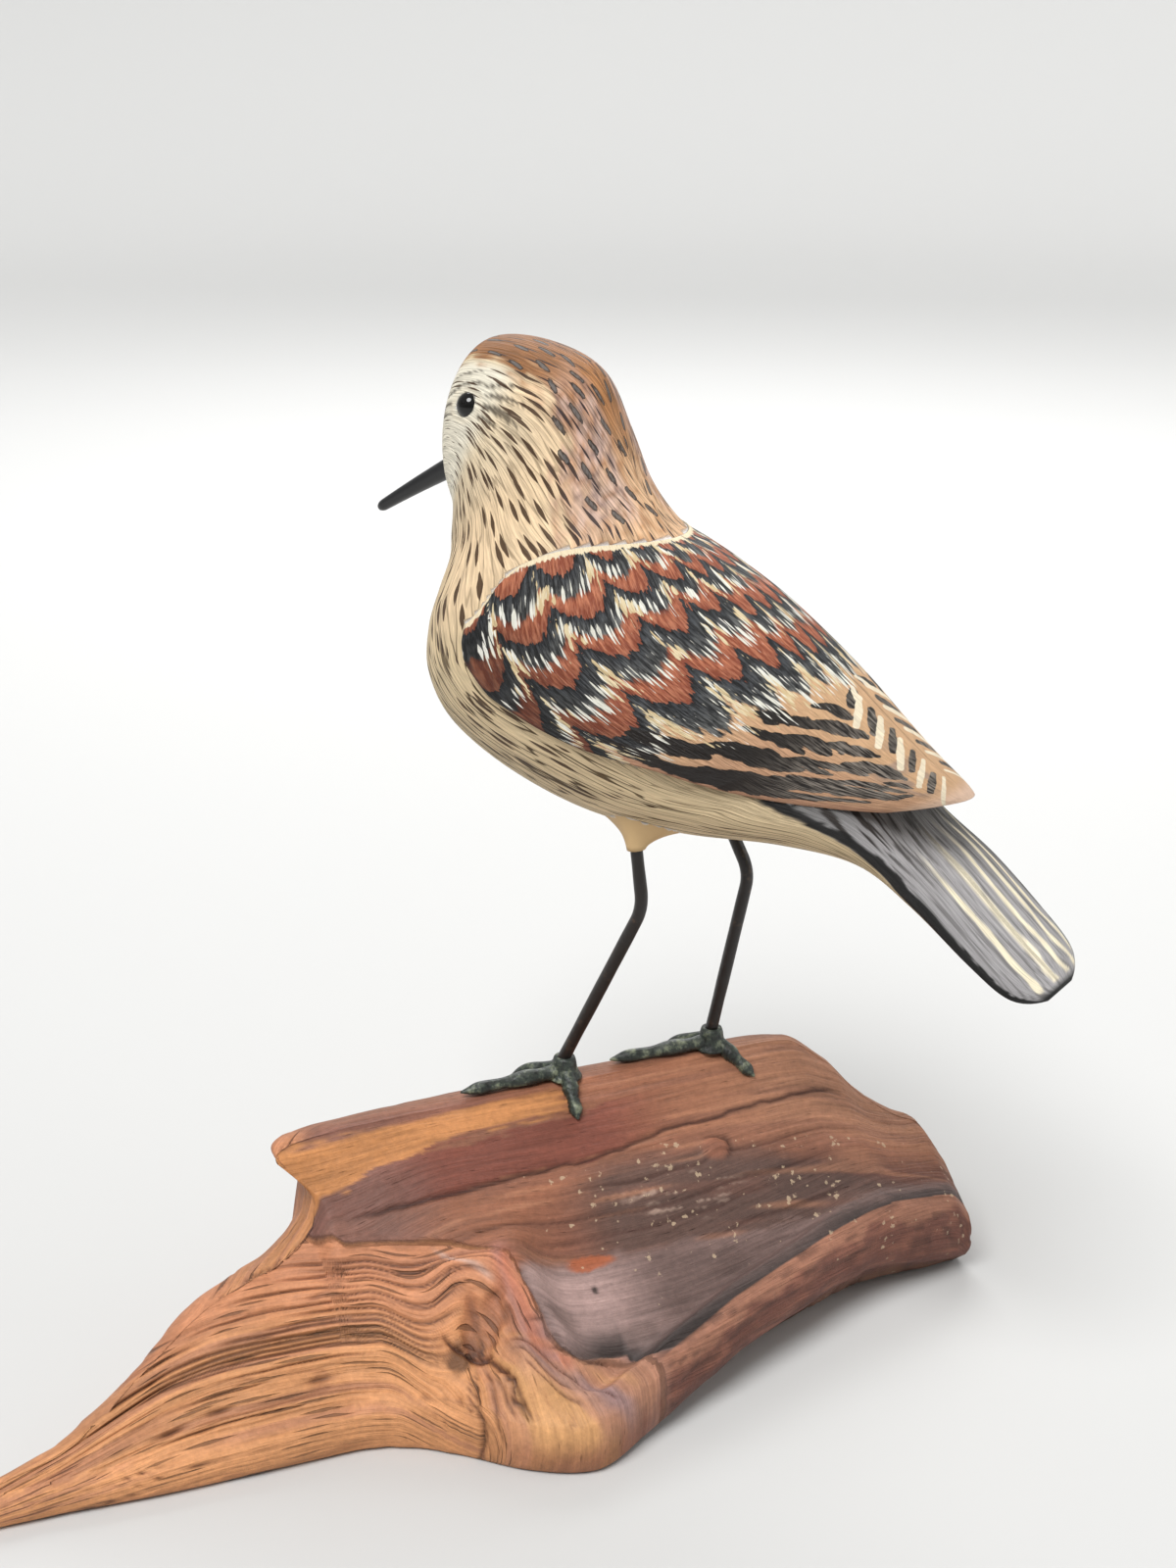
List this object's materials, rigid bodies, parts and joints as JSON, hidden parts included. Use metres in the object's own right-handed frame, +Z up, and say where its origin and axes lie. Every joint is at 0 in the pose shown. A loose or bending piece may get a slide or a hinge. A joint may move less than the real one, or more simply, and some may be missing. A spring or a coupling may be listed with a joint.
{
  "type": "shorebird decoy",
  "caption": "Painted wooden shorebird on wire legs, standing on a weathered piece of driftwood; a shelf ornament in the folk decoy tradition.",
  "frame": {"origin": "on the table, under the middle of the whole part", "axes": "+Z up, +X along the driftwood from its thin tongue to its thick end, +Y away from the worn front lip; the bird faces mostly along +Y"},
  "size_m": [0.267, 0.1626, 0.2318],
  "materials": {
    "painted_carving": "carved wood, hand painted in matt colours",
    "bill": "satin black",
    "eye_glass": "polished black glass",
    "leg_wire": "black-brown paint, semi-gloss, worn",
    "foot": "dark green-grey paint with pale worn edges",
    "driftwood": "weathered bare wood"
  },
  "bodies": {
    "root": {"bird_carving": "painted_carving", "bill": "bill", "eye_left": "eye_glass", "eye_right": "eye_glass", "leg_left": "leg_wire", "leg_right": "leg_wire", "foot_left": "foot", "foot_right": "foot", "driftwood_base": "driftwood"}
  },
  "joints": []
}
